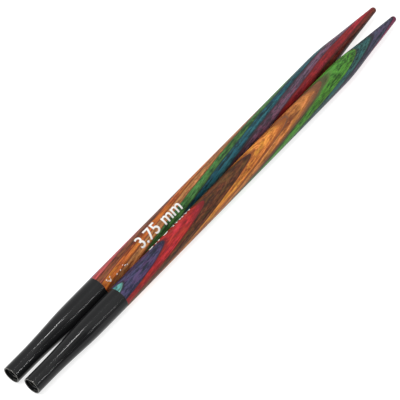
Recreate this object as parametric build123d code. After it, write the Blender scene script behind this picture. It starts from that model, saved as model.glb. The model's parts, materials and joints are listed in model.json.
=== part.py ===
"""A pair of short interchangeable knitting-needle tips, size 3.75 mm, lying side by side.

Each needle is a turned shank of dyed birch veneers, bonded face to face and sawn at a slight
angle, so that every glue line runs obliquely through it. Its tenon is bonded into a tapered
metal ferrule, whose open end is threaded for the screw of a cable.

Axes: +X runs from the ferrules to the points, +Y from needle b to needle a, +Z up. The origin
is midway along and between the needles, on the surface that they lie on. Millimetres.
"""

from build123d import *
import math
import os

# Needle
shank_d = 3.75
needle_length = 88.9
needle_gap = 0.04
needle_stagger = 0.36

# Point: the shank tapers from its shoulder, through these places and radii, to a rounded end
shoulder = 73.4
taper = [(77.2, 1.67), (80.4, 1.305), (84.2, 0.925)]
point_r = 0.5
point_half_angle = 5.5

# Ferrule: a straight neck, an S-curved flare and a sleeve that ends flush with the wood
ferrule_length = 20.0
neck_length = 3.5
neck_r = 1.465
flare = [(7.0, 1.55), (9.4, 1.67), (11.8, 1.80), (15.0, 1.86)]
rim_chamfer = 0.05

# Thread for the cable, M2.5 x 0.45: drawn as its core bore, countersunk to the crests
thread_core_r = 1.02
thread_crest_r = 1.25

# Tenon and the bond around it
tenon_start = 10.5
tenon_r = 1.42
bond = 0.08

# Veneers, from the ferrule to the point. A glue line crosses the needle's axis at each place
# (distance from the ferrule's mouth), at the glue angle. The veneers' normal is turned about
# the axis by the stack's turn, from +Y towards +Z.
needles = {
    "a": {
        "side": 1,
        "turn": 0.0,
        "glue_angle": 5.7,
        "glue_lines": [8.8, 18.1, 28.1, 38.1, 46.9, 56.5, 67.4, 78.5, 88.7],
        "colours": "purple red brown orange tan green teal purple red brown".split(),
    },
    "b": {
        "side": -1,
        "turn": 80.0,
        "glue_angle": 6.3,
        "glue_lines": [4.4, 14.7, 24.1, 35.1, 43.9, 53.1, 65.5, 73.4, 84.1],
        "colours": "teal purple red brown orange tan green teal purple red".split(),
    },
}

shank_r = shank_d / 2
socket_r = tenon_r + bond


def turned_wood():
    """The wood of one needle along X, from its tenon to its point, still in one piece.

    The surface's seam is a quarter turn away from the tips of the glue lines' curves on it.
    """
    tip = (needle_length, 0)
    half = math.radians(point_half_angle)
    along_taper = (math.cos(half), -math.sin(half))
    taper_end = (tip[0] - point_r + point_r * math.sin(half), point_r * math.cos(half))
    shank_end = (shoulder, shank_r)
    tenon = [(tenon_start, 0), (tenon_start, tenon_r), (ferrule_length, tenon_r)]
    outline = [
        Polyline(*tenon, (ferrule_length, shank_r), shank_end),
        Spline(shank_end, *taper, taper_end, tangents=[(1, 0), along_taper]),
        TangentArc(taper_end, tip, tangent=along_taper),
        Line(tip, tenon[0]),
    ]
    return Rot(X=90) * revolve(make_face(outline), Axis.X)


def between_glue_lines(after, before, angle):
    """The slab of one veneer, from the glue line on its +Y side to the one on its -Y side."""
    slope = math.tan(math.radians(angle))
    end = needle_length + shank_d

    def line(place, offset):
        if place is None:
            return [(0, offset), (end, offset)]
        return [(0, -slope * place), (end, slope * (end - place))]

    upper = line(after, end)
    lower = line(before, -end)
    return extrude(make_face(Polyline(*upper, *reversed(lower), close=True)), shank_d, both=True)


def veneers(needle):
    """The veneers of one needle, each cut from the same turned wood."""
    wood = turned_wood()
    lines = [None, *needle["glue_lines"], None]
    slabs = [between_glue_lines(a, b, needle["glue_angle"]) for a, b in zip(lines, lines[1:])]
    return [wood & slab for slab in slabs]


def ferrule():
    """The metal ferrule along X, with its mouth at the origin."""
    rim_r = neck_r - rim_chamfer
    countersink = thread_crest_r - thread_core_r
    neck = [(0, thread_crest_r), (0, rim_r), (rim_chamfer, neck_r), (neck_length, neck_r)]
    end = (ferrule_length, shank_r)
    inside = [
        (ferrule_length, socket_r),
        (tenon_start, socket_r),
        (tenon_start, thread_core_r),
        (countersink, thread_core_r),
    ]
    outline = [
        Polyline(*neck),
        Spline(neck[-1], *flare, end, tangents=[(1, 0), (1, 0)]),
        Polyline(end, *inside, neck[0]),
    ]
    return revolve(make_face(outline), Axis.X)


def adhesive():
    """The sleeve of adhesive between the tenon and the ferrule's socket."""
    section = Pos((tenon_start + ferrule_length) / 2, tenon_r + bond / 2) * Rectangle(
        ferrule_length - tenon_start, bond
    )
    return revolve(section, Axis.X)


def needle_plane(needle):
    """Where a needle lies: X along it from the ferrule's mouth, Y along its veneers' normal."""
    turn = math.radians(needle["turn"])
    total_length = needle_length + needle_stagger
    x = -total_length / 2
    if needle["side"] < 0:
        x += needle_stagger
    y = needle["side"] * (shank_r + needle_gap / 2)
    return Plane(
        origin=(x, y, shank_r), x_dir=(1, 0, 0), z_dir=(0, -math.sin(turn), math.cos(turn))
    )


os.makedirs("parts", exist_ok=True)
for letter, needle in needles.items():
    plane = needle_plane(needle)
    export_step(plane * ferrule(), f"parts/ferrule_{letter}.step")
    export_step(plane * adhesive(), f"parts/adhesive_{letter}.step")
    plies = zip(needle["colours"], veneers(needle))
    for number, (colour, ply) in enumerate(plies, start=1):
        export_step(plane * ply, f"parts/veneer_{letter}{number:02d}_{colour}.step")
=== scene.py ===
"""Knitting-needle tips: dyed veneers, plated ferrules, a printed size and a plain studio.

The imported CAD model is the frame. Every piece made here lies in the same axes, in metres:
+X from the ferrules to the points, +Y from needle b to needle a, +Z up. Distances along a
needle count from its ferrule's mouth. Angles round a needle count from +Y towards +Z.
"""

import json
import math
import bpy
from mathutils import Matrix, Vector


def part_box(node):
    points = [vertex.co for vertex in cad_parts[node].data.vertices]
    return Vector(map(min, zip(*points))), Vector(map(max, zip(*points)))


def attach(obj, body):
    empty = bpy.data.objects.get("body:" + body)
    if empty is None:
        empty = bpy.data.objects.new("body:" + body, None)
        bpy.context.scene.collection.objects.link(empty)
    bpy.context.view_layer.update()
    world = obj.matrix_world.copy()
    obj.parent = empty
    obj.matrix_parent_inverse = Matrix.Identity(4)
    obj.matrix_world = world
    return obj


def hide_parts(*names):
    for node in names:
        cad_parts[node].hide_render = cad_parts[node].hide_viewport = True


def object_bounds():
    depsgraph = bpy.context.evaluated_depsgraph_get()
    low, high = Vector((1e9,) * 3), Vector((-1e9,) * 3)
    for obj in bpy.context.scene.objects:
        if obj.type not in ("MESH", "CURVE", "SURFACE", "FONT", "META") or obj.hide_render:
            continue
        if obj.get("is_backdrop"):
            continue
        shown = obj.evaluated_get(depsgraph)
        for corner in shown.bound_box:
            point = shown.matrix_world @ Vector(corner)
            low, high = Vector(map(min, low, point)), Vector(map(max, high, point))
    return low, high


bl_info = {
    "name": "Knitting Needle Tips",
    "version": (1, 0, 0),
    "blender": (4, 5, 0),
    "location": "3D View > Sidebar > Needles",
    "description": "Builds the finished look of a pair of laminated knitting-needle tips",
    "category": "Add Mesh",
}

import bmesh
import bpy
import numpy as np
from mathutils import Matrix, Vector

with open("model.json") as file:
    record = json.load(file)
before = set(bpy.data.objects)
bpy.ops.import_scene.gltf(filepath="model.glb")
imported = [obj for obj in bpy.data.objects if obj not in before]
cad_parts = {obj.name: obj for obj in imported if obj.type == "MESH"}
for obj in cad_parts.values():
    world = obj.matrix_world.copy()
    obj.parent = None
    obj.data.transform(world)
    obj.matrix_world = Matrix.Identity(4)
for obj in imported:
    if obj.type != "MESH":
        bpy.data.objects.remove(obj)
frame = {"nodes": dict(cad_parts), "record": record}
cad_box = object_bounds()

MM = 0.001

# The outline of a needle, in millimetres: places along it with the radius there
FLARE = [(3.5, 1.465), (7.0, 1.55), (9.4, 1.67), (11.8, 1.80), (15.0, 1.86), (20.0, 1.875)]
TAPER = [(73.4, 1.875), (77.2, 1.67), (80.4, 1.305), (84.2, 0.925)]
POINT_RADIUS = 0.5
POINT_HALF_ANGLE = math.radians(5.5)
TENON = (10.5, 1.42)
SOCKET_RADIUS = 1.50
THREAD_ROOT_RADIUS = 1.25
BORE_RADIUS = 1.02

# Each needle's veneers, from the ferrule to the point. A glue line crosses the axis at each
# place. A sheet has its dye, how strongly it took the red, green and blue of that dye, and how
# deep in mm the glue has stained it on its ferrule side and on its point side.
STACKS = {
    "a": {
        "turn": math.radians(0.0),
        "glue_slope": math.tan(math.radians(5.7)),
        "glue_lines": [8.8, 18.1, 28.1, 38.1, 46.9, 56.5, 67.4, 78.5, 88.7],
        "sheets": [
            ("purple", (1.2, 1.2, 1.2), 0.05, 0.05),
            ("red", (0.9, 1.9, 1.6), 0.05, 0.06),
            ("brown", (1.3, 0.8, 0.6), 0.08, 0.05),
            ("orange", (0.7, 0.5, 0.3), 0.05, 0.08),
            ("tan", (1.0, 1.2, 1.2), 0.10, 0.09),
            ("green", (0.6, 0.7, 1.0), 0.05, 0.08),
            ("teal", (0.4, 0.8, 0.8), 0.06, 0.10),
            ("purple", (1.0, 0.8, 0.6), 0.18, 0.06),
            ("red", (0.7, 0.5, 0.6), 0.16, 0.12),
            ("brown", (0.8, 0.3, 0.3), 0.05, 0.05),
        ],
    },
    "b": {
        "turn": math.radians(80.0),
        "glue_slope": math.tan(math.radians(6.3)),
        "glue_lines": [4.4, 14.7, 24.1, 35.1, 43.9, 53.1, 65.5, 73.4, 84.1],
        "sheets": [
            ("teal", (3.4, 2.8, 2.0), 0.02, 0.03),
            ("purple", (0.4, 0.5, 0.6), 0.05, 0.06),
            ("red", (0.8, 0.4, 0.4), 0.05, 0.11),
            ("brown", (0.8, 0.6, 0.3), 0.03, 0.06),
            ("orange", (1.0, 1.0, 0.8), 0.04, 0.17),
            ("tan", (1.0, 1.0, 0.7), 0.07, 0.27),
            ("green", (0.7, 0.9, 0.6), 0.22, 0.04),
            ("teal", (0.8, 0.8, 0.6), 0.04, 0.10),
            ("purple", (0.4, 0.6, 0.5), 0.10, 0.06),
            ("red", (0.6, 1.2, 2.8), 0.04, 0.04),
        ],
    },
}

# Each glue line's waviness: its size in mm, and its turns along, from line to line and across
GLUE_WAVES = [(0.030, 0.55, 2.1, 1.3), (0.014, 1.7, -1.1, 2.6)]
BEYOND = 99.0

# Where each needle's sheets start counting the seeds of their grain, and how far in mm one seed
# moves the grain along, across and through a sheet
SEEDS = {"a": 0, "b": 20}
SEED_SHIFT = (17.3, 5.1, 9.7)
BRIGHTEST_DYE = 0.95

# Glue that soaked in less than WIDE mm darkens the dye, and where it spread wider, browns it: how
# much of the dye's red, green and blue is left, and the colour that is added
WIDE = 0.20
THIN_STAIN = (0.42, 0.28, 0.30), (0.008, 0.004, 0.004)
WIDE_STAIN = (0.18, 0.18, 0.18), (0.058, 0.028, 0.022)

# How each dye shows the birch: the strength of the long lines and of the short speckle, the
# tint of the dark lines and the tint of a second colour that comes through in streaks
FIGURE = {
    "red": (1.7, 1.8, (0.55, 0.50, 0.55), (1.25, 0.9, 1.9)),
    "brown": (1.5, 2.8, (0.32, 0.32, 0.34), (0.8, 1.5, 1.2)),
    "orange": (2.1, 1.8, (0.44, 0.28, 0.30), (1.3, 1.5, 1.2)),
    "tan": (1.9, 2.1, (0.42, 0.30, 0.32), (0.9, 0.75, 1.1)),
    "green": (1.9, 3.6, (0.32, 0.34, 0.40), (2.2, 1.3, 0.9)),
    "teal": (1.7, 3.4, (0.36, 0.28, 0.34), (0.7, 1.7, 1.9)),
    "purple": (1.7, 3.2, (0.36, 0.42, 0.42), (3.2, 1.6, 2.0)),
}


# ---------------------------------------------------------------- settings


def colour_setting(name, description, default):
    """A colour that the panel shows."""
    return bpy.props.FloatVectorProperty(
        name=name, description=description, subtype="COLOR", size=3, default=default, min=0, max=1
    )


def length_setting(name, description, default):
    """A length that the panel shows, given in millimetres."""
    return bpy.props.FloatProperty(
        name=name, description=description, subtype="DISTANCE", unit="LENGTH",
        default=default * MM, precision=6,
    )


class VeneerSettings(bpy.types.PropertyGroup):
    """The dyes of the veneers and the finish of the turned wood."""

    red: colour_setting("Red", "Dye of the red sheets", (0.3, 0.022, 0.024))
    brown: colour_setting("Brown", "Dye of the brown sheets", (0.098, 0.037, 0.02))
    orange: colour_setting("Orange", "Dye of the orange sheets", (0.4, 0.135, 0.024))
    tan: colour_setting("Tan", "Dye of the tan sheets", (0.3, 0.105, 0.03))
    green: colour_setting("Green", "Dye of the green sheets", (0.045, 0.14, 0.022))
    teal: colour_setting("Teal", "Dye of the teal sheets", (0.018, 0.066, 0.082))
    purple: colour_setting("Purple", "Dye of the purple sheets", (0.06, 0.044, 0.092))
    lacquer: bpy.props.FloatProperty(
        name="Lacquer", description="Weight of the clear coat", subtype="FACTOR",
        default=0.12, min=0, max=1,
    )


class FerruleSettings(bpy.types.PropertyGroup):
    """The plated ferrules and the thread inside them."""

    plating: colour_setting("Plating", "Colour of the black plating", (0.005, 0.0052, 0.0055))
    bare_metal: colour_setting(
        "Bare metal", "Colour of the metal at worn edges", (0.105, 0.102, 0.092)
    )
    thread_radius: length_setting("Thread radius", "Radius at the root of the cable's thread", 1.25)
    thread_pitch: length_setting("Thread pitch", "Advance of the thread in one turn", 0.45)
    thread_length: length_setting("Thread length", "Length of the thread from near the mouth", 7.2)


class PrintSettings(bpy.types.PropertyGroup):
    """The needle size, printed on each shank in white ink."""

    text: bpy.props.StringProperty(
        name="Text", description="The needle size as printed", default="3.75 mm"
    )
    ink: colour_setting("Ink", "Colour of the ink", (0.66, 0.66, 0.64))
    height: length_setting("Digit height", "Height of the digits round the shank", 1.98)
    length: length_setting("Text length", "Length of the print along the shank", 9.7)
    start: length_setting("Start", "Where the print starts, from the ferrule's mouth", 28.95)
    film: length_setting("Film", "Thickness of the ink", 0.012)


class StageSettings(bpy.types.PropertyGroup):
    """The floor, the light and the camera."""

    azimuth: bpy.props.FloatProperty(
        name="Azimuth", description="Turn of the camera about Z", subtype="ANGLE",
        default=math.radians(-44.41),
    )
    elevation: bpy.props.FloatProperty(
        name="Elevation", description="Height of the camera above the floor", subtype="ANGLE",
        default=math.radians(52.03),
    )
    roll: bpy.props.FloatProperty(
        name="Roll", description="Turn of the camera about its own axis", subtype="ANGLE",
        default=math.radians(-7.67),
    )
    distance: bpy.props.FloatProperty(
        name="Distance", description="From the camera to the needles", subtype="DISTANCE",
        unit="LENGTH", default=0.4712,
    )
    lens: bpy.props.FloatProperty(
        name="Lens", description="Focal length in millimetres on a 36 mm sensor", default=274.2
    )
    sky: bpy.props.FloatProperty(
        name="Surround", description="Brightness of the pale surroundings", default=1.35
    )


SETTINGS = {
    "needle_veneers": VeneerSettings,
    "needle_ferrules": FerruleSettings,
    "needle_print": PrintSettings,
    "needle_stage": StageSettings,
}


# ------------------------------------------------------------ node building


def socket_named(sockets, key):
    """A node's socket by its number, its identifier or its name."""
    if isinstance(key, int):
        return sockets[key]
    found = [s for s in sockets if s.identifier == key] or [s for s in sockets if s.name == key]
    return found[0]


class Graph:
    """A node tree that is being built."""

    def __init__(self, tree):
        self.tree = tree

    def add(self, kind, settings=None, sockets=None, output=0):
        """Adds a node of any kind, set up before its sockets are filled, and gives an output."""
        node = self.tree.nodes.new(kind)
        for name, value in (settings or {}).items():
            if name == "stops":
                self.fill_ramp(node.color_ramp, value)
            else:
                setattr(node, name, value)
        for key, value in (sockets or {}).items():
            socket = socket_named(node.inputs, key)
            if isinstance(value, Value):
                self.tree.links.new(value.socket, socket)
            else:
                socket.default_value = value
        return Value(self, socket_named(node.outputs, output)) if node.outputs else node

    @staticmethod
    def fill_ramp(ramp, stops):
        """Gives a colour ramp its stops, as places and grey levels or colours."""
        while len(ramp.elements) < len(stops):
            ramp.elements.new(0.5)
        for element, (place, colour) in zip(ramp.elements, stops):
            element.position = place
            element.color = colour if isinstance(colour, tuple) else (colour,) * 3 + (1,)

    def noise(self, vector, detail=2.0, roughness=0.5, distortion=0.0):
        """Three-dimensional noise, about 0.5, with features one unit of the vector long."""
        sockets = {
            "Vector": vector, "Scale": 1.0, "Detail": detail, "Roughness": roughness,
            "Distortion": distortion,
        }
        return self.add("ShaderNodeTexNoise", None, sockets)

    def scaled(self, vector, x, y, z):
        """A vector with each axis scaled on its own."""
        sockets = {0: vector, 1: (x, y, z)}
        return self.add("ShaderNodeVectorMath", {"operation": "MULTIPLY"}, sockets)

    def mix(self, factor, first, second, blend="MIX"):
        """A mix of two colours."""
        sockets = {"Factor_Float": factor, "A_Color": first, "B_Color": second}
        settings = {"data_type": "RGBA", "blend_type": blend}
        return self.add("ShaderNodeMix", settings, sockets, "Result_Color")

    def ease(self, value, low, high, start=0.0, end=1.0):
        """A smooth step from start at low to end at high."""
        sockets = {"Value": value, 1: low, 2: high, 3: start, 4: end}
        return self.add("ShaderNodeMapRange", {"interpolation_type": "SMOOTHSTEP"}, sockets)


class Value:
    """A socket's number. Arithmetic on it adds Math nodes."""

    def __init__(self, graph, socket):
        self.graph = graph
        self.socket = socket

    def maths(self, operation, first, second):
        sockets = {0: first, 1: second}
        return self.graph.add("ShaderNodeMath", {"operation": operation}, sockets)

    def __add__(self, other):
        return self.maths("ADD", self, other)

    def __sub__(self, other):
        return self.maths("SUBTRACT", self, other)

    def __rsub__(self, other):
        return self.maths("SUBTRACT", other, self)

    def __mul__(self, other):
        return self.maths("MULTIPLY", self, other)

    def __truediv__(self, other):
        return self.maths("DIVIDE", self, other)

    __radd__ = __add__
    __rmul__ = __mul__


def new_material(name, finish):
    """A material whose one Principled shader gets its sockets from finish(graph)."""
    material = bpy.data.materials.new(name)
    material.use_nodes = True
    material.node_tree.nodes.clear()
    graph = Graph(material.node_tree)
    shader = graph.add("ShaderNodeBsdfPrincipled", None, finish(graph))
    graph.add("ShaderNodeOutputMaterial", None, {"Surface": shader})
    return material


def opaque(colour):
    """A colour with full alpha."""
    return (*colour, 1.0)


# ---------------------------------------------------------------- materials


def veneer_material(name, main, figure, stains, lacquer, seed):
    """Dyed, lacquered birch, in the sheet's own coordinates in mm.

    The attribute grain runs along the fibres, across the sheet and through it. The attribute
    glue holds the depths below the sheet's two faces.
    """
    mean = sum(main) / 3
    pale = tuple(min(BRIGHTEST_DYE, 2.0 * channel + 0.10 * mean) for channel in main)
    left, added = THIN_STAIN if max(stains) < WIDE else WIDE_STAIN
    stained = tuple(channel * f + more for channel, f, more in zip(main, left, added))
    lines, speckle, dark, second = figure
    deep = tuple(channel * f + 0.02 * mean for channel, f in zip(main, dark))
    streak = tuple(min(BRIGHTEST_DYE, channel * f) for channel, f in zip(main, second))

    def finish(graph):
        grain = graph.add("ShaderNodeAttribute", {"attribute_name": "grain"}, None, "Vector")
        shift = {0: grain, 1: tuple(seed * step for step in SEED_SHIFT)}
        grain = graph.add("ShaderNodeVectorMath", {"operation": "ADD"}, shift)
        glue = graph.add("ShaderNodeAttribute", {"attribute_name": "glue"}, None, "Vector")
        glue = graph.add("ShaderNodeSeparateXYZ", None, {0: glue}, "X")
        upper = Value(graph, glue.socket.node.outputs["Y"])

        clouds = graph.noise(graph.scaled(grain, 0.12, 0.8, 1.6), 2.0)
        rings = graph.noise(graph.scaled(grain, 0.07, 0.7, 5.5), 2.0, 0.55, 0.4)
        fibres = graph.noise(graph.scaled(grain, 0.60, 3.4, 3.8), 4.0, 0.72)
        hairs = graph.noise(graph.scaled(grain, 1.5, 5.2, 6.0), 2.0, 0.6)
        tone = 0.5 + (clouds - 0.5) * 1.4 + (rings - 0.5) * lines + (fibres - 0.5) * speckle
        stops = [(0.10, opaque(deep)), (0.50, opaque(main)), (0.92, opaque(pale))]
        colour = graph.add("ShaderNodeValToRGB", {"stops": stops}, {"Fac": tone}, "Color")

        pores = graph.ease(hairs, 0.58, 0.70)
        colour = graph.mix(pores * 0.55, colour, opaque(deep))
        # Painted highlight: pale specks painted into the wood's colour stand in for the glints that
        # fibres under the lacquer throw back
        painted_glints = graph.ease(hairs, 0.42, 0.30)
        colour = graph.mix(painted_glints * 0.55, colour, opaque(pale))
        drift = graph.noise(graph.scaled(grain, 0.35, 1.5, 2.5), 2.0, 0.6)
        streaks = graph.ease(fibres + (drift - 0.5) * 1.2, 0.48, 0.66)
        colour = graph.mix(streaks * 0.45, colour, opaque(streak))
        shift = {"Hue": 0.501 + (drift - 0.5) * 0.045, "Color": colour}
        colour = graph.add("ShaderNodeHueSaturation", None, shift)

        ragged = 1.0 + (rings - 0.5) * 1.0 + (fibres - 0.5) * 2.6
        first, last = stains
        soaked = graph.ease(upper, ragged * (0.5 * first), ragged * (1.5 * first), 1.0, 0.0)
        other = graph.ease(glue, ragged * (0.5 * last), ragged * (1.5 * last), 1.0, 0.0)
        soaked = graph.add("ShaderNodeMath", {"operation": "MAXIMUM"}, {0: soaked, 1: other})
        colour = graph.mix(soaked * 0.85, colour, opaque(stained))

        relief = fibres * 0.5 - pores * 0.8 + hairs * 0.4
        bump = {"Height": relief, "Strength": 0.12, "Distance": 0.02 * MM}
        return {
            "Base Color": colour,
            "Roughness": 0.42 + fibres * 0.16,
            "IOR": 1.24,
            "Coat Weight": lacquer,
            "Coat Roughness": 0.16,
            "Normal": graph.add("ShaderNodeBump", None, bump, "Normal"),
        }

    return new_material(name, finish)


def plating_material(settings):
    """Gloss black plating, rubbed through to the metal along its edges (attribute wear)."""

    def finish(graph):
        place = graph.add("ShaderNodeTexCoord", None, None, "Object")
        wear = graph.add("ShaderNodeAttribute", {"attribute_name": "wear"}, None, "Fac")
        fine = graph.noise(graph.scaled(place, 900, 2200, 2200), 3.0, 0.65)
        broad = graph.noise(graph.scaled(place, 160, 600, 600), 2.0)
        rubbed = graph.ease(wear + (fine - 0.5) * 1.6, 0.50, 0.85)
        smoky = opaque(tuple(2.1 * channel for channel in settings.plating))
        colour = graph.mix(broad, opaque(settings.plating), smoky)
        colour = graph.mix(rubbed, colour, opaque(settings.bare_metal))
        bump = {"Height": fine * 0.7 + broad * 0.3, "Strength": 0.06, "Distance": 0.02 * MM}
        return {
            "Base Color": colour,
            "Metallic": rubbed * 0.85,
            "Roughness": 0.08 + broad * 0.10 + rubbed * 0.12,
            "IOR": 1.29,
            "Normal": graph.add("ShaderNodeBump", None, bump, "Normal"),
        }

    return new_material("black_plating", finish)


def thread_material(settings):
    """The cut thread: thin plating that lets the metal through."""

    def finish(graph):
        place = graph.add("ShaderNodeTexCoord", None, None, "Object")
        grime = graph.noise(graph.scaled(place, 1500, 1500, 1500), 3.0)
        dark = opaque(tuple(8.0 * channel for channel in settings.plating))
        metal = opaque(tuple(0.55 * channel for channel in settings.bare_metal))
        return {
            "Base Color": graph.mix(graph.ease(grime, 0.35, 0.6), dark, metal),
            "Metallic": 0.7,
            "Roughness": 0.32 + grime * 0.2,
        }

    return new_material("threaded_brass", finish)


def adhesive_material():
    """Cured epoxy, dark amber, with pale specks painted in as highlights along the joint bead."""

    def finish(graph):
        place = graph.add("ShaderNodeTexCoord", None, None, "Object")
        cloud = graph.noise(graph.scaled(place, 1200, 1200, 1200), 3.0)
        # Painted highlight: pale specks in the colour stand in for the bright glints where the bead
        # at the joint catches the light
        pale = graph.ease(cloud, 0.56, 0.68)
        return {
            "Base Color": graph.mix(pale, (0.035, 0.024, 0.017, 1), (0.42, 0.37, 0.30, 1)),
            "Roughness": 0.22 + cloud * 0.2,
        }

    return new_material("cured_adhesive", finish)


def ink_material(ink):
    """White pad-printing ink: matt, a little uneven and thin in places."""

    def finish(graph):
        place = graph.add("ShaderNodeTexCoord", None, None, "Object")
        patchy = graph.noise(graph.scaled(place, 2600, 5200, 5200), 3.0, 0.6)
        thin = graph.ease(patchy, 0.36, 0.26)
        worn = opaque(tuple(0.72 * channel for channel in ink))
        bump = {"Height": patchy, "Strength": 0.2, "Distance": 0.01 * MM}
        return {
            "Base Color": graph.mix(thin, opaque(ink), worn),
            "Roughness": 0.45 + patchy * 0.2,
            "Normal": graph.add("ShaderNodeBump", None, bump, "Normal"),
        }

    return new_material("white_ink", finish)


def floor_material():
    """A plain pale sweep of paper that glows a little, so that shadows on it stay faint."""

    def finish(graph):
        place = graph.add("ShaderNodeTexCoord", None, None, "Object")
        grain = graph.noise(graph.scaled(place, 300, 300, 300), 3.0)
        return {
            "Base Color": graph.mix(grain, (0.33, 0.33, 0.33, 1), (0.36, 0.36, 0.36, 1)),
            "Roughness": 0.9,
            "Specular IOR Level": 0.1,
            "Emission Color": (1.0, 1.0, 1.0, 1.0),
            "Emission Strength": 0.78,
        }

    return new_material("pale_floor", finish)


# ------------------------------------------------------------ shape helpers


def clamped_spline(points, start_slope, end_slope):
    """A smooth curve y(x) through points, with given slopes at its two ends."""
    x, y = np.array(points, float).T
    h, rise = np.diff(x), np.diff(y) / np.diff(x)
    count = len(x)
    matrix, right = np.eye(count), np.zeros(count)
    right[0], right[-1] = start_slope, end_slope
    for i in range(1, count - 1):
        matrix[i, i - 1 : i + 2] = 1 / h[i - 1], 2 / h[i - 1] + 2 / h[i], 1 / h[i]
        right[i] = 3 * (rise[i - 1] / h[i - 1] + rise[i] / h[i])
    slopes = np.linalg.solve(matrix, right)

    def curve(at):
        at = np.clip(at, x[0], x[-1])
        i = np.clip(np.searchsorted(x, at) - 1, 0, count - 2)
        t = (at - x[i]) / h[i]
        first = (1 + 2 * t) * (1 - t) ** 2 * y[i] + t * (1 - t) ** 2 * h[i] * slopes[i]
        second = t * t * (3 - 2 * t) * y[i + 1] + t * t * (t - 1) * h[i] * slopes[i + 1]
        return first + second

    return curve


class Needle:
    """One needle: its place in the frame, its outline and its glue lines."""

    def __init__(self, letter, stack):
        mounts = {m["name"]: m["pos_m"] for m in frame["record"]["mounts"]}
        self.letter = letter
        self.body = f"needle_{letter}"
        self.mouth = mounts[f"cable_seat_{letter}"][0] / MM
        self.y, self.z = (value / MM for value in mounts[f"cable_socket_{letter}"][1:])
        self.sheets = sorted(n for n in frame["nodes"] if n.startswith(f"veneer_{letter}"))
        self.length = max(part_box(n)[1].x for n in self.sheets) / MM - self.mouth
        self.ferrule_end, self.radius = FLARE[-1]
        self.turn = stack["turn"]
        self.slope = stack["glue_slope"]
        self.glue_lines = stack["glue_lines"]
        self.ball = self.length - POINT_RADIUS
        cone_end = self.ball + POINT_RADIUS * math.sin(POINT_HALF_ANGLE)
        cone_radius = POINT_RADIUS * math.cos(POINT_HALF_ANGLE)
        points = [*TAPER, (cone_end, cone_radius)]
        self.taper = clamped_spline(points, 0, -math.tan(POINT_HALF_ANGLE))
        self.cone_end = cone_end

    def wood_radius(self, s):
        """The wood's radius at s: the tenon, the shank, the taper and the rounded point."""
        s = np.asarray(s, float)
        ball = np.sqrt(np.maximum(POINT_RADIUS**2 - (s - self.ball) ** 2, 0))
        outside = np.where(s > self.cone_end, ball, self.taper(s))
        outside = np.where(s < TAPER[0][0], self.radius, outside)
        return np.where(s <= self.ferrule_end, TENON[1], outside)

    def glue_height(self, line, s, across):
        """How far glue line number line lies from the axis, along the sheets' normal."""
        if line < 0:
            return np.full(np.shape(s), BEYOND)
        if line >= len(self.glue_lines):
            return np.full(np.shape(s), -BEYOND)
        wave = 0.0
        for size, along, step, aside in GLUE_WAVES:
            wave = wave + size * np.sin(along * s + step * line + aside * across)
        return self.slope * (s - self.glue_lines[line]) + wave

    def in_frame(self, s, height, across):
        """Frame coordinates in metres of points given along, above and across the sheets."""
        cos, sin = math.cos(self.turn), math.sin(self.turn)
        y = self.y + height * cos - across * sin
        z = self.z + height * sin + across * cos
        return np.stack([self.mouth + s, y, z], axis=-1) * MM

    def from_frame(self, points):
        """The reverse of in_frame, for an array of points in metres."""
        cos, sin = math.cos(self.turn), math.sin(self.turn)
        s, y, z = (points / MM - (self.mouth, self.y, self.z)).T
        return s, y * cos + z * sin, z * cos - y * sin


NEEDLES = {letter: Needle(letter, stack) for letter, stack in STACKS.items()}


def mesh_object(name, mesh, material):
    """A new piece at the origin with one material."""
    piece = bpy.data.objects.new(name, mesh)
    bpy.context.scene.collection.objects.link(piece)
    mesh.materials.clear()
    mesh.materials.append(material)
    return piece


def store(mesh, name, kind, values):
    """Stores a value for each of a mesh's points."""
    attribute = mesh.attributes.new(name, kind, "POINT")
    field = "vector" if kind == "FLOAT_VECTOR" else "value"
    attribute.data.foreach_set(field, np.asarray(values, np.float32).ravel())


def points_of(mesh):
    """A mesh's points as an array."""
    co = np.empty(len(mesh.vertices) * 3, np.float32)
    mesh.vertices.foreach_get("co", co)
    return co.reshape(-1, 3).astype(float)


# ------------------------------------------------------------------ veneers

BASE_STEP = 0.25
CROSSING_STEP = 0.005
ARC_POINTS = 20
CHORD_POINTS = 6
CLOSE_STEPS = (0.0, 0.004, 0.015, 0.04, 0.08, 0.14)
STEP_WIDTH = 0.0005
MERGE = 3e-8


def crossings(needle, line):
    """Where a glue line meets the wood's surface on its near and its far side."""
    s = np.arange(TENON[0], needle.length, CROSSING_STEP)
    found = []
    for side in (-1, 1):
        gap = needle.glue_height(line, s, 0.0) - side * needle.wood_radius(s)
        changes = np.sign(gap[:-1]) != np.sign(gap[1:])
        found += list(s[:-1][changes] + CROSSING_STEP / 2)
    return found


def stations(needle):
    """The cross-sections of a needle's wood, closer together where a glue line runs out."""
    ball = needle.ball + POINT_RADIUS * np.sin(np.linspace(0, math.pi / 2, 16))
    places = [*np.arange(TENON[0], needle.ball, BASE_STEP), *ball]
    places += [needle.ferrule_end, needle.ferrule_end + STEP_WIDTH]
    for line in range(len(needle.glue_lines)):
        for place in crossings(needle, line):
            places += [place + side * step for step in CLOSE_STEPS for side in (-1, 1)]
    places = np.unique(np.round(places, 5))
    return places[(places >= TENON[0]) & (places <= needle.length)]


def edge_angle(needle, line, s, radius, side):
    """The angle, from the sheets' normal, at which a glue line meets the surface."""
    angle = np.full(len(s), math.pi / 2)
    for _ in range(12):
        height = needle.glue_height(line, s, side * radius * np.sin(angle))
        angle = np.arccos(np.clip(height / radius, -1, 1))
    return side * angle


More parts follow.
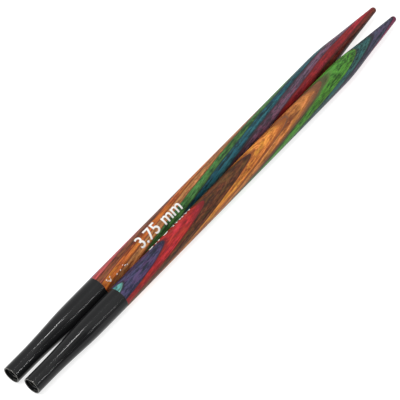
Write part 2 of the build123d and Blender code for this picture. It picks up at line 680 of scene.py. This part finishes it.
def ring_points(needle, number, s):
    """The outline of one sheet in each cross-section: two arcs joined by two chords."""
    radius = np.maximum(needle.wood_radius(s), 1e-6)
    upper, lower = number - 1, number
    right = [edge_angle(needle, line, s, radius, 1) for line in (upper, lower)]
    left = [edge_angle(needle, line, s, radius, -1) for line in (lower, upper)]

    def arc(start, end):
        angle = start + (end - start) * np.linspace(0, 1, ARC_POINTS)[:, None]
        return radius * np.cos(angle), radius * np.sin(angle)

    def chord(line, start, end):
        t = np.linspace(0, 1, CHORD_POINTS + 2)[1:-1, None]
        across = radius * (np.sin(start) * (1 - t) + np.sin(end) * t)
        reach = np.sqrt(np.maximum(radius**2 - across**2, 0))
        return np.clip(needle.glue_height(line, s, across), -reach, reach), across

    parts = [
        arc(*right),
        chord(lower, right[1], left[0]),
        arc(*left),
        chord(upper, left[1], right[0]),
    ]
    height, across = (np.concatenate([part[i] for part in parts]).T for i in (0, 1))
    return needle.in_frame(np.broadcast_to(s[:, None], height.shape), height, across)


def runs_of(needle, number, s):
    """The stretches of cross-sections in which a sheet has any wood."""
    radius = needle.wood_radius(s)
    top = needle.glue_height(number - 1, s, 0.0)
    bottom = needle.glue_height(number, s, 0.0)
    solid = (bottom < radius - 1e-4) & (top > 1e-4 - radius)
    ends = np.flatnonzero(np.diff(np.concatenate([[0], solid.astype(int), [0]])))
    for first, last in zip(ends[::2], ends[1::2]):
        yield max(first - 1, 0) if first and s[first - 1] > needle.ferrule_end else first, last


def loft(build, rings, is_outer):
    """Adds a closed tube of rings to a mesh under construction, marking its outer faces."""
    count = rings.shape[1]
    rows = [[build.verts.new(point) for point in ring] for ring in rings]
    mark = build.faces.layers.int["outer"]
    for row, following in zip(rows, rows[1:]):
        for j in range(count):
            k = (j + 1) % count
            face = build.faces.new((row[j], row[k], following[k], following[j]))
            face[mark] = int(is_outer(j))
    build.faces.new(rows[0][::-1])
    build.faces.new(rows[-1])


def outside_arcs(j):
    """Whether the ring's side after point j lies on the turned surface."""
    return j % (ARC_POINTS + CHORD_POINTS) < ARC_POINTS - 1


def turned_normals(needle, mesh):
    """Gives the turned surface the exact normals of its outline, so that sheets meet unseen."""
    s, height, across = needle.from_frame(points_of(mesh))
    step = 0.02
    rise = (needle.wood_radius(s + step) - needle.wood_radius(s - step)) / (2 * step)
    near_joint = np.abs(s - needle.ferrule_end) < 2 * step
    rise = np.where(near_joint | (s > needle.cone_end), 0, rise)
    ball = np.where(s > needle.cone_end, s - needle.ball, 0)
    round_ = np.hypot(height, across)
    flat = np.maximum(round_, 1e-9)
    along = np.where(s > needle.cone_end, ball, -rise * flat)
    normals = needle.in_frame(along, height, across) - needle.in_frame(0.0, 0.0, 0.0)
    normals /= np.maximum(np.linalg.norm(normals, axis=1), 1e-12)[:, None]
    outer = np.zeros(len(mesh.polygons), np.int32)
    mesh.attributes["outer"].data.foreach_get("value", outer)
    custom = []
    for polygon, is_outer in zip(mesh.polygons, outer):
        for vertex in polygon.vertices:
            custom.append(normals[vertex] if is_outer else polygon.normal)
    mesh.normals_split_custom_set(custom)


def sheet_mesh(needle, number, name):
    """The closed mesh of one veneer."""
    s = stations(needle)
    build = bmesh.new()
    build.faces.layers.int.new("outer")
    for first, last in runs_of(needle, number, s):
        stretch = s[first : min(last + 1, len(s))]
        loft(build, ring_points(needle, number, stretch), outside_arcs)
    bmesh.ops.remove_doubles(build, verts=build.verts, dist=MERGE)
    bmesh.ops.dissolve_degenerate(build, edges=build.edges, dist=MERGE)
    mesh = bpy.data.meshes.new(name)
    build.to_mesh(mesh)
    build.free()
    mesh.shade_smooth()
    turned_normals(needle, mesh)
    s, height, across = needle.from_frame(points_of(mesh))
    depth = height - needle.slope * s
    store(mesh, "grain", "FLOAT_VECTOR", np.stack([s, across, depth], axis=-1))
    above = height - needle.glue_height(number, s, across)
    below = needle.glue_height(number - 1, s, across) - height
    store(mesh, "glue", "FLOAT_VECTOR", np.stack([above, below, 0 * s], axis=-1))
    return mesh


class MESH_OT_needle_veneers(bpy.types.Operator):
    """Builds the dyed veneers of both needles, cut to the turned outline"""

    bl_idname = "mesh.needle_veneers"
    bl_label = "Veneers"

    def execute(self, context):
        settings = context.scene.needle_veneers
        for letter, needle in NEEDLES.items():
            sheets = STACKS[letter]["sheets"]
            for number, (node, (dye, uptake, *stains)) in enumerate(zip(needle.sheets, sheets)):
                name = node.replace("veneer", "sheet")
                seed = SEEDS[letter] + number
                plain = getattr(settings, dye)
                colour = [min(BRIGHTEST_DYE, c * u) for c, u in zip(plain, uptake)]
                finish = (FIGURE[dye], stains, settings.lacquer, seed)
                material = veneer_material(name, colour, *finish)
                piece = mesh_object(name, sheet_mesh(needle, number, name), material)
                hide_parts(node)
                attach(piece, needle.body)
        return {"FINISHED"}


# ----------------------------------------------------------------- ferrules

TURNS = 128
SHARP_ANGLE = math.radians(35)
RIM_ROUND = 0.06
THREAD_START = 0.25
BEAD_THICKNESS = 0.016


def ferrule_outline():
    """The ferrule's section, from the wood round its mouth to the socket, with its wear."""
    flare = clamped_spline(FLARE, 0, 0)
    end, radius = FLARE[-1]
    neck = FLARE[0][1]
    outline = [(end, SOCKET_RADIUS, 0.0), (end, radius - 0.05, 0.4), (end - 0.05, radius, 0.55)]
    for s in np.arange(end - 0.2, FLARE[0][0], -0.2):
        outline.append((s, float(flare(s)), 0.0))
    outline += [(s, neck, 0.0) for s in np.arange(FLARE[0][0], 0.3, -0.4)]
    outline.append((0.2, neck, 0.1))
    for angle in np.linspace(0, math.pi / 2, 6):
        place = RIM_ROUND * (1 - math.sin(angle))
        outline.append((place, neck - RIM_ROUND * (1 - math.cos(angle)), 0.75))
    root, bore = THREAD_ROOT_RADIUS, BORE_RADIUS
    outline += [(0.0, root + 0.05, 0.75), (0.03, root + 0.005, 0.6), (THREAD_START, root, 0.1)]
    outline += [(s, root, 0.0) for s in np.arange(0.6, 8.0, 0.6)]
    outline += [(8.3, bore, 0.0), (TENON[0], bore, 0.0), (TENON[0], SOCKET_RADIUS, 0.0)]
    return outline


def ferrule_mesh(needle):
    """The ferrule as a surface of revolution, with the attribute wear on its edges."""
    outline = ferrule_outline()
    build = bmesh.new()
    wear = build.verts.layers.float.new("wear")
    rows = []
    for s, radius, worn in outline:
        angle = np.linspace(0, 2 * math.pi, TURNS, endpoint=False)
        ring = needle.in_frame(np.full(TURNS, s), radius * np.cos(angle), radius * np.sin(angle))
        row = [build.verts.new(point) for point in ring]
        for vertex in row:
            vertex[wear] = worn
        rows.append(row)
    for row, following in zip(rows, rows[1:] + rows[:1]):
        for j in range(TURNS):
            k = (j + 1) % TURNS
            build.faces.new((row[j], row[k], following[k], following[j]))
    bmesh.ops.recalc_face_normals(build, faces=build.faces)
    mesh = bpy.data.meshes.new(f"ferrule_shell_{needle.letter}")
    build.to_mesh(mesh)
    build.free()
    mesh.shade_smooth()
    mesh.set_sharp_from_angle(angle=SHARP_ANGLE)
    return mesh


def new_geometry_tree(name, inputs):
    """A Geometry Nodes tree with named inputs, given as name: (socket type, default)."""
    tree = bpy.data.node_groups.new(name, "GeometryNodeTree")
    tree.interface.new_socket("Geometry", in_out="INPUT", socket_type="NodeSocketGeometry")
    tree.interface.new_socket("Geometry", in_out="OUTPUT", socket_type="NodeSocketGeometry")
    for label, (kind, default) in inputs.items():
        socket = tree.interface.new_socket(label, in_out="INPUT", socket_type=kind)
        if default is not None:
            socket.default_value = default
    graph = Graph(tree)
    start = graph.add("NodeGroupInput").socket.node
    return graph, {s.name: Value(graph, s) for s in start.outputs if s.name}


def end_geometry_tree(graph, geometry, material):
    """Ends a tree in real geometry with its material."""
    real = graph.add("GeometryNodeRealizeInstances", None, {0: geometry})
    done = graph.add("GeometryNodeSetMaterial", None, {"Geometry": real, "Material": material})
    graph.add("NodeGroupOutput", None, {0: done})
    return graph.tree


def grown(name, start_mesh, tree, values):
    """The plain mesh that a Geometry Nodes tree makes from a mesh and its input values."""
    holder = bpy.data.objects.new(name + "_start", start_mesh)
    bpy.context.scene.collection.objects.link(holder)
    modifier = holder.modifiers.new("Grow", "NODES")
    modifier.node_group = tree
    for item in tree.interface.items_tree:
        if item.item_type == "SOCKET" and item.in_out == "INPUT" and item.name in values:
            modifier[item.identifier] = values[item.name]
    depsgraph = bpy.context.evaluated_depsgraph_get()
    mesh = bpy.data.meshes.new_from_object(holder.evaluated_get(depsgraph))
    mesh.name = name
    holder.modifiers.clear()
    bpy.data.objects.remove(holder)
    return mesh


def laid_along_x(graph, geometry, centre):
    """Geometry made round Z, laid along X at a centre."""
    sockets = {"Geometry": geometry, "Translation": centre, "Rotation": (0.0, math.pi / 2, 0.0)}
    return graph.add("GeometryNodeTransform", None, sockets)


def thread_tree(material):
    """A helical ridge of triangular section along X, from the root inwards."""
    number = "NodeSocketFloat"
    graph, inputs = new_geometry_tree(
        "Internal Thread",
        {
            "Radius": (number, 1.0),
            "Pitch": (number, 1.0),
            "Length": (number, 1.0),
            "Centre": ("NodeSocketVector", None),
        },
    )
    turns = inputs["Length"] / inputs["Pitch"]
    ridge = inputs["Pitch"] * 0.36
    path_radius = inputs["Radius"] - ridge * 0.3
    spiral = graph.add(
        "GeometryNodeCurveSpiral",
        None,
        {
            "Resolution": 48,
            "Rotations": turns,
            "Start Radius": path_radius,
            "End Radius": path_radius,
            "Height": inputs["Length"],
        },
    )
    upright = graph.add("GeometryNodeSetCurveNormal", {"mode": "Z_UP"}, {"Curve": spiral})
    profile = graph.add(
        "GeometryNodeCurvePrimitiveCircle", {"mode": "RADIUS"}, {"Resolution": 3, "Radius": ridge}
    )
    swept = graph.add(
        "GeometryNodeCurveToMesh",
        None,
        {"Curve": upright, "Profile Curve": profile, "Fill Caps": True},
    )
    return end_geometry_tree(graph, laid_along_x(graph, swept, inputs["Centre"]), material)


def bead_tree(material):
    """A thin ring round the X axis."""
    number = "NodeSocketFloat"
    graph, inputs = new_geometry_tree(
        "Joint Bead",
        {
            "Radius": (number, 1.0),
            "Thickness": (number, 1.0),
            "Centre": ("NodeSocketVector", None),
        },
    )
    kind = "GeometryNodeCurvePrimitiveCircle"
    ring = graph.add(kind, {"mode": "RADIUS"}, {"Resolution": 128, "Radius": inputs["Radius"]})
    section = graph.add(
        kind, {"mode": "RADIUS"}, {"Resolution": 8, "Radius": inputs["Thickness"]}
    )
    swept = graph.add("GeometryNodeCurveToMesh", None, {"Curve": ring, "Profile Curve": section})
    return end_geometry_tree(graph, laid_along_x(graph, swept, inputs["Centre"]), material)


class MESH_OT_needle_ferrules(bpy.types.Operator):
    """Builds the plated ferrules with their worn edges and the thread inside them"""

    bl_idname = "mesh.needle_ferrules"
    bl_label = "Ferrules and threads"

    def execute(self, context):
        settings = context.scene.needle_ferrules
        plating = plating_material(settings)
        cut = thread_tree(thread_material(settings))
        for letter, needle in NEEDLES.items():
            shell = mesh_object(f"ferrule_shell_{letter}", ferrule_mesh(needle), plating)
            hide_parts(f"ferrule_{letter}")
            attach(shell, needle.body)
            name = f"cable_thread_{letter}"
            values = {
                "Radius": settings.thread_radius,
                "Pitch": settings.thread_pitch,
                "Length": settings.thread_length,
                "Centre": tuple(needle.in_frame(THREAD_START, 0.0, 0.0)),
            }
            mesh = grown(name, bpy.data.meshes.new(name), cut, values)
            thread = mesh_object(name, mesh, mesh.materials[0])
            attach(thread, needle.body)
        return {"FINISHED"}


class MESH_OT_needle_adhesive(bpy.types.Operator):
    """Finishes the adhesive sleeves and adds the fine bead that shows at each joint"""

    bl_idname = "mesh.needle_adhesive"
    bl_label = "Adhesive"

    def execute(self, context):
        material = adhesive_material()
        tree = bead_tree(material)
        for letter, needle in NEEDLES.items():
            sleeve = frame["nodes"][f"adhesive_{letter}"]
            sleeve.data.materials.clear()
            sleeve.data.materials.append(material)
            name = f"adhesive_bead_{letter}"
            values = {
                "Radius": (needle.radius - BEAD_THICKNESS) * MM,
                "Thickness": BEAD_THICKNESS * MM,
                "Centre": tuple(needle.in_frame(needle.ferrule_end, 0.0, 0.0)),
            }
            mesh = grown(name, bpy.data.meshes.new(name), tree, values)
            bead = mesh_object(name, mesh, material)
            bead.data.shade_smooth()
            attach(bead, needle.body)
        return {"FINISHED"}


# -------------------------------------------------------------------- print

# The angle round each shank at which the baseline of its print lies
BASELINES = {"a": math.radians(139), "b": math.radians(50.5)}

# Worn flecks of ink, in mm: place from the ferrule, height above the baseline, length, width
FLECKS = [
    (1.00, 0.56, 0.32, 0.16),
    (1.15, 0.32, 0.24, 0.14),
    (1.30, 0.10, 0.26, 0.18),
    (1.45, -0.02, 0.42, 0.24),
    (1.62, 0.22, 0.22, 0.14),
    (1.80, 0.58, 0.30, 0.16),
    (3.00, 0.06, 0.28, 0.20),
    (3.85, 0.10, 0.32, 0.24),
    (4.65, 0.42, 0.24, 0.12),
    (4.95, 0.13, 0.38, 0.20),
    (5.30, -0.02, 0.24, 0.12),
]


def flat_text(settings):
    """The print as a flat, closed mesh at its real size, cut into narrow strips to bend."""
    curve = bpy.data.curves.new("size_text", "FONT")
    curve.body = settings.text
    curve.resolution_u = 6
    curve.extrude = 0.02
    curve.offset = 0.012
    holder = bpy.data.objects.new("size_text", curve)
    bpy.context.scene.collection.objects.link(holder)
    depsgraph = bpy.context.evaluated_depsgraph_get()
    mesh = bpy.data.meshes.new_from_object(holder.evaluated_get(depsgraph))
    bpy.data.objects.remove(holder)
    co = points_of(mesh)
    digits_high = co[co[:, 0] < 0.5][:, 1].max()
    low, high = co.min(0), co.max(0)
    wide, tall = settings.length / (high[0] - low[0]), settings.height / digits_high
    thick = settings.film / (high[2] - low[2])
    mesh.transform(
        Matrix.Diagonal((wide, tall, thick, 1)) @ Matrix.Translation((-low[0], 0, -low[2]))
    )
    build = bmesh.new()
    build.from_mesh(mesh)
    bmesh.ops.remove_doubles(build, verts=build.verts, dist=1e-7)
    strip = 0.08 * MM
    for place in np.arange(-strip, settings.height + strip, strip):
        everything = [*build.verts, *build.edges, *build.faces]
        bmesh.ops.bisect_plane(
            build, geom=everything, dist=1e-8, plane_co=(0, place, 0), plane_no=(0, 1, 0)
        )
    bmesh.ops.triangulate(build, faces=build.faces)
    build.to_mesh(mesh)
    build.free()
    return mesh


def wrap_tree(material):
    """Bends a flat mesh round a shank along X: its x runs along, its y round, its z outwards."""
    number, vector = "NodeSocketFloat", "NodeSocketVector"
    graph, inputs = new_geometry_tree(
        "Wrap Round Shank",
        {
            "Radius": (number, 1.0),
            "Baseline": (number, 0.0),
            "Start": (vector, None),
        },
    )
    place = graph.add("GeometryNodeInputPosition")
    along = graph.add("ShaderNodeSeparateXYZ", None, {0: place}, "X")
    node = along.socket.node
    up, out = Value(graph, node.outputs["Y"]), Value(graph, node.outputs["Z"])
    angle = inputs["Baseline"] - up / inputs["Radius"]
    radius = inputs["Radius"] + out
    cosine = graph.add("ShaderNodeMath", {"operation": "COSINE"}, {0: angle})
    sine = graph.add("ShaderNodeMath", {"operation": "SINE"}, {0: angle})
    bent = graph.add(
        "ShaderNodeCombineXYZ", None, {"X": along, "Y": radius * cosine, "Z": radius * sine}
    )
    moved = graph.add(
        "ShaderNodeVectorMath", {"operation": "ADD"}, {0: bent, 1: inputs["Start"]}
    )
    wrapped = graph.add(
        "GeometryNodeSetPosition", None, {"Geometry": inputs["Geometry"], "Position": moved}
    )
    return end_geometry_tree(graph, wrapped, material)


def flat_flecks(film):
    """The worn remains of other print as flat, closed dabs with ragged outlines."""
    draw = np.random.default_rng(4)
    build = bmesh.new()
    corners = 11
    for along, up, length, width in FLECKS:
        turn = np.linspace(0, 2 * math.pi, corners, endpoint=False)
        reach = draw.uniform(0.55, 1.15, corners)
        x = along + length / 2 * reach * np.cos(turn) + draw.uniform(-0.3, 0.3) * width
        y = up + width / 2 * reach * np.sin(turn) + 0.35 * (x - along)
        top = [build.verts.new((u * MM, v * MM, film)) for u, v in zip(x, y)]
        bottom = [build.verts.new((u * MM, v * MM, -film)) for u, v in zip(x, y)]
        build.faces.new(top)
        build.faces.new(bottom[::-1])
        for j in range(corners):
            k = (j + 1) % corners
            build.faces.new((bottom[j], bottom[k], top[k], top[j]))
    bmesh.ops.triangulate(build, faces=build.faces)
    mesh = bpy.data.meshes.new("flat_flecks")
    build.to_mesh(mesh)
    build.free()
    return mesh


class MESH_OT_needle_print(bpy.types.Operator):
    """Prints the size on both shanks and leaves worn flecks of ink beside ferrule a"""

    bl_idname = "mesh.needle_print"
    bl_label = "Printed size"

    def execute(self, context):
        settings = context.scene.needle_print
        ink = ink_material(settings.ink)
        tree = wrap_tree(ink)
        text = flat_text(settings)
        for letter, needle in NEEDLES.items():
            flat = {f"size_print_{letter}": (text.copy(), settings.start)}
            if letter == "a":
                flat["ink_flecks_a"] = flat_flecks(settings.film), needle.ferrule_end * MM
            for name, (mesh, start) in flat.items():
                values = {
                    "Radius": needle.radius * MM,
                    "Baseline": BASELINES[letter],
                    "Start": tuple(needle.in_frame(start / MM, 0.0, 0.0)),
                }
                piece = mesh_object(name, grown(name, mesh, tree, values), ink)
                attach(piece, needle.body)
        return {"FINISHED"}


# -------------------------------------------------------------------- stage


def area_light(name, direction, distance, size, radiance, aim):
    """A rectangular soft light of a given radiance, facing the point aim."""
    light = bpy.data.lights.new(name, "AREA")
    light.shape = "RECTANGLE"
    light.size, light.size_y = size
    light.energy = radiance * math.pi * size[0] * size[1]
    lamp = bpy.data.objects.new(name, light)
    bpy.context.scene.collection.objects.link(lamp)
    away = Vector(direction).normalized()
    lamp.location = aim + away * distance
    lamp.rotation_euler = away.to_track_quat("Z", "Y").to_euler()
    return lamp


def surround(brightness):
    """Pale surroundings, bright towards the points and darker towards the ferrules."""
    world = bpy.data.worlds.new("studio")
    world.use_nodes = True
    world.node_tree.nodes.clear()
    graph = Graph(world.node_tree)
    direction = graph.add("ShaderNodeTexCoord", None, None, "Generated")
    ahead = {0: direction, 1: (0.97, 0.23, 0.0)}
    facing = graph.add("ShaderNodeVectorMath", {"operation": "DOT_PRODUCT"}, ahead, "Value")
    sideways = graph.add("ShaderNodeSeparateXYZ", None, {0: direction}, "Y")
    level = graph.ease(facing, 0.11, 0.23, 0.12 * brightness, brightness)
    level = level * graph.ease(sideways, -0.2, 0.6, 0.95, 0.70)
    sky = graph.add("ShaderNodeBackground", None, {"Color": (1, 1, 1, 1), "Strength": level})
    graph.add("ShaderNodeOutputWorld", None, {"Surface": sky})
    bpy.context.scene.world = world


def camera_at(settings, target):
    """A camera with a given turn, height and roll, looking at the point target."""
    a, e, r = settings.azimuth, settings.elevation, settings.roll
    back = Vector((math.sin(a) * math.cos(e), -math.cos(a) * math.cos(e), math.sin(e)))
    level = Vector((0, 0, 1)).cross(back).normalized()
    upright = back.cross(level)
    right = level * math.cos(r) + upright * math.sin(r)
    up = upright * math.cos(r) - level * math.sin(r)
    data = bpy.data.cameras.new("camera")
    data.sensor_width = 36
    data.lens = settings.lens
    data.clip_start, data.clip_end = 0.01, 20
    camera = bpy.data.objects.new("camera", data)
    bpy.context.scene.collection.objects.link(camera)
    turn = Matrix((right, up, back)).transposed().to_4x4()
    camera.matrix_world = Matrix.Translation(target + back * settings.distance) @ turn
    bpy.context.scene.camera = camera


class MESH_OT_needle_stage(bpy.types.Operator):
    """Lays out the pale floor, the soft light and the camera"""

    bl_idname = "mesh.needle_stage"
    bl_label = "Stage"

    def execute(self, context):
        settings = context.scene.needle_stage
        low, high = cad_box
        aim = (low + high) / 2
        build = bmesh.new()
        bmesh.ops.create_grid(build, x_segments=2, y_segments=2, size=1.5)
        mesh = bpy.data.meshes.new("floor")
        build.to_mesh(mesh)
        build.free()
        mesh.transform(Matrix.Translation((aim.x, aim.y, low.z)))
        floor = mesh_object("floor", mesh, floor_material())
        floor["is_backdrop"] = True
        surround(settings.sky)
        mouths = Vector((low.x, 0, aim.z))
        flare, neck = mouths + Vector((9.5 * MM, 0, 0)), mouths + Vector((2.5 * MM, 0, 0))
        area_light("key_softbox", (-0.45, 0.06, 0.89), 0.8, (0.50, 0.50), 8.0, aim)
        area_light("ceiling_lamp", (0.261, 0.010, 0.965), 0.8, (0.015, 0.06), 220.0, flare)
        area_light("side_lamp", (0.36, -0.81, 0.46), 1.0, (0.025, 0.03), 130.0, neck)
        target = Vector((-2.56, 0.02, 1.86)) * MM
        camera_at(settings, target)
        view = context.scene.view_settings
        view.view_transform = "Standard"
        view.look = "None"
        return {"FINISHED"}


# ----------------------------------------------------------------- add-on


class VIEW3D_PT_needles(bpy.types.Panel):
    """Lists the steps that build the needles"""

    bl_label = "Knitting Needle Tips"
    bl_space_type = "VIEW_3D"
    bl_region_type = "UI"
    bl_category = "Needles"

    def draw(self, context):
        for operator in OPERATORS:
            self.layout.operator(operator.bl_idname)
        for name in SETTINGS:
            group = getattr(context.scene, name)
            box = self.layout.box()
            for field in group.__annotations__:
                box.prop(group, field)


OPERATORS = (
    MESH_OT_needle_veneers,
    MESH_OT_needle_ferrules,
    MESH_OT_needle_adhesive,
    MESH_OT_needle_print,
    MESH_OT_needle_stage,
)
CLASSES = (*SETTINGS.values(), *OPERATORS, VIEW3D_PT_needles)


def register():
    """Registers the settings, the operators and the panel."""
    for each in CLASSES:
        bpy.utils.register_class(each)
    for name, group in SETTINGS.items():
        setattr(bpy.types.Scene, name, bpy.props.PointerProperty(type=group))


def unregister():
    """Takes everything that register added away again."""
    for name in SETTINGS:
        delattr(bpy.types.Scene, name)
    for each in reversed(CLASSES):
        bpy.utils.unregister_class(each)


def write_sizes():
    """Works out the CAD model's box and the finished model's box, in metres, as lists that are not
    kept.
    """
    boxes = {"cad": cad_box, "visual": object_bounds()}
    {name: [list(corner) for corner in box] for name, box in boxes.items()}


def main():
    """Builds everything in order."""
    register()
    bpy.ops.mesh.needle_veneers()
    bpy.ops.mesh.needle_ferrules()
    bpy.ops.mesh.needle_adhesive()
    bpy.ops.mesh.needle_print()
    bpy.ops.mesh.needle_stage()
    write_sizes()


if __name__ == "__main__":
    main()
